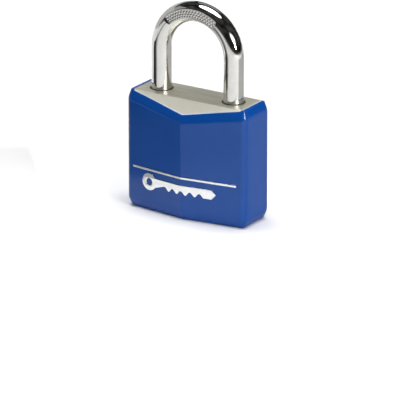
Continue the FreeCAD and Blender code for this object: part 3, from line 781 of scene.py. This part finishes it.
def build_lights():
    """Soft boxes above, at the right front and the left back, and a weak fill in front."""
    top = area_light("top_box", (0, 0.03, 0.75), size=(0.58, 0.44), power=5.3, target=(0, 0.03, 0))
    top.matrix_world = top.matrix_world @ Matrix.Rotation(math.radians(20), 4, "Z")
    key = area_light("key_box", bearing(*KEY_SIDE, 0.6), size=(0.32, 0.20), power=1.5)
    back = area_light(
        "back_panel", bearing(*BACK_SIDE, 0.5), size=(0.8, 0.4), power=1.45, shape="RECTANGLE"
    )
    fill = area_light("front_fill", bearing(-52, 22, 0.8), size=(0.5, 0.5), power=1.0)
    for light in (key, back, fill):
        light.visible_glossy = False


def plain_surface(name, level, glow=0.0):
    """A grey of one level, with an even white glow if asked."""
    n = Nodes(name)
    n.set(Base_Color=(level, level, level, 1), Roughness=1.0)
    n.set(Emission_Color=(1, 1, 1, 1), Emission_Strength=glow)
    return n.material


def fading_surface(name, width, height, peak):
    """Glows most in the middle of a card of the given size, and fades to its rim."""
    n = Nodes(name)
    length = n.add("ShaderNodeVectorMath", operation="LENGTH")
    n.feed(length.inputs[0], n.place((2 / width, 2 / height, 1)))
    inside = n.remap(length.outputs["Value"], 1, 0, from_low=0, from_high=1)
    fade = n.math("POWER", inside, 3.0)
    n.set(Base_Color=(0, 0, 0, 1), Roughness=1.0, Emission_Color=(1, 1, 1, 1))
    n.set(Emission_Strength=n.math("MULTIPLY", fade, peak))
    return n.material


def card(name, middle, along, across, surface, seen_by="glossy"):
    """A flat card that only one kind of ray can see. It isn't part of the lock."""
    corners = (along - across, along + across, across - along, -along - across)
    bm = bmesh.new()
    bm.faces.new([bm.verts.new(middle + corner) for corner in corners])
    plate = new_object(name, bm)
    plate.data.materials.append(surface)
    for kind in ("camera", "diffuse", "glossy", "shadow", "transmission", "volume_scatter"):
        setattr(plate, f"visible_{kind}", kind == seen_by)
    return plate


def floor_card(name, centre, azimuth, size, level, seen_by="glossy"):
    """A grey card just above the floor, its length along an azimuth."""
    length, width = size
    along = bearing(azimuth, 0, length / 2, 0)
    across = bearing(azimuth + 90, 0, width / 2, 0)
    middle = Vector((*centre, 0.5 * MM))
    card(name, middle, along, across, plain_surface(name, level), seen_by)


def standing_axes(side, size):
    """Half the width and half the height of a card that faces the lock from a side."""
    azimuth, elevation = side
    width, height = size
    along = bearing(azimuth + 90, 0, width / 2, 0)
    across = bearing(azimuth, elevation + 90, height / 2, 0)
    return along, across


def standing_card(name, side, distance, size, glow):
    """An evenly glowing card that faces the lock."""
    along, across = standing_axes(side, size)
    card(name, bearing(*side, distance), along, across, plain_surface(name, 0.0, glow))


def fading_card(name, side, distance, size, peak):
    """A card that faces the lock and glows most in its middle. It lies along its own X and Y."""
    width, height = size
    surface = fading_surface(name, width, height, peak)
    plate = card(name, Vector(), Vector((width / 2, 0, 0)), Vector((0, height / 2, 0)), surface)
    along, across = standing_axes(side, size)
    axes = Matrix((along.normalized(), across.normalized(), along.cross(across).normalized()))
    place = Matrix.Translation(bearing(*side, distance))
    plate.matrix_world = place @ axes.transposed().to_4x4()


def build_cards():
    """What the shiny surfaces mirror, and a dark card that takes bounced light off the left wall."""
    fading_card("key_glow", KEY_SIDE, distance=0.62, size=(0.56, 0.34), peak=16.0)
    standing_card("key_lamp", (-19, 14.5), distance=0.60, size=(0.05, 0.16), glow=95.0)
    standing_card("back_card", BACK_SIDE, distance=0.5, size=(0.8, 0.4), glow=0.65)
    floor_card("dark_card", (-0.126, -0.093), azimuth=-141, size=(0.090, 0.090), level=0.02)
    floor_card("coin_card", (-0.086, -0.135), azimuth=-122, size=(0.060, 0.030), level=0.45)
    floor_card("left_card", (-0.062, -0.053), azimuth=-139, size=(0.082, 0.050), level=0.32)
    floor_card("grey_card", (0.13, 0.13), azimuth=90, size=(0.28, 0.22), level=0.50)
    # Painted shadow: a darker grey card on the floor just behind the body, where the body's shadow
    # falls, seen only in reflections.
    floor_card("shade_card", (-0.0065, 0.042), azimuth=90, size=(0.058, 0.057), level=0.22)
    floor_card(
        "bounce_card", (-0.086, -0.080), azimuth=-139, size=(0.15, 0.14), level=0.03, seen_by="diffuse"
    )
    standing_card("dim_card", (-160, 24), distance=0.8, size=(0.46, 0.40), glow=0.43)
    standing_card("rim_card", (108, 38), distance=0.8, size=(0.40, 0.26), glow=0.5)


def build_world():
    """A dark room with soft paler clouds, which the chrome mirrors."""
    world = bpy.data.worlds.new("studio")
    bpy.context.scene.world = world
    world.use_nodes = True
    nodes, links = world.node_tree.nodes, world.node_tree.links
    where = nodes.new("ShaderNodeTexCoord")
    cloud = nodes.new("ShaderNodeTexNoise")
    cloud.inputs["Scale"].default_value = 5.0
    cloud.inputs["Detail"].default_value = 3.0
    level = nodes.new("ShaderNodeMapRange")
    ranges = {"From Min": 0.42, "From Max": 0.68, "To Min": 0.004, "To Max": 0.11}
    for socket, value in ranges.items():
        level.inputs[socket].default_value = value
    links.new(where.outputs["Generated"], cloud.inputs["Vector"])
    links.new(cloud.outputs["Fac"], level.inputs["Value"])
    links.new(level.outputs["Result"], nodes["Background"].inputs["Color"])


# ---------------------------------------------------------------- all of it


def dress_cad_nodes(materials):
    """Gives every CAD node the material of its slot."""
    slots = {row["node"]: row["material_slot"] for row in frame["record"]["subparts"]}
    for name, node in frame["nodes"].items():
        node.data.materials.clear()
        node.data.materials.append(materials[slots[name]])


def main():
    bpy.context.scene.view_settings.view_transform = "Standard"
    build_camera()
    build_floor()
    build_lights()
    build_cards()
    build_world()
    materials = slot_materials()
    silver = materials["silver_trim"]
    dress_cad_nodes(materials)
    # The cover, with a painted highlight on its cut edge.
    build_cover(materials["blue_vinyl"], painted_edge_highlight_material())
    build_relief("raised_bar", [bar_outline()], silver, "trim_bar", sharp=50)
    build_relief("key_relief", key_outlines(), silver, "key_sign", sharp=35)
    build_shackle(materials["chromed_steel"])


main()
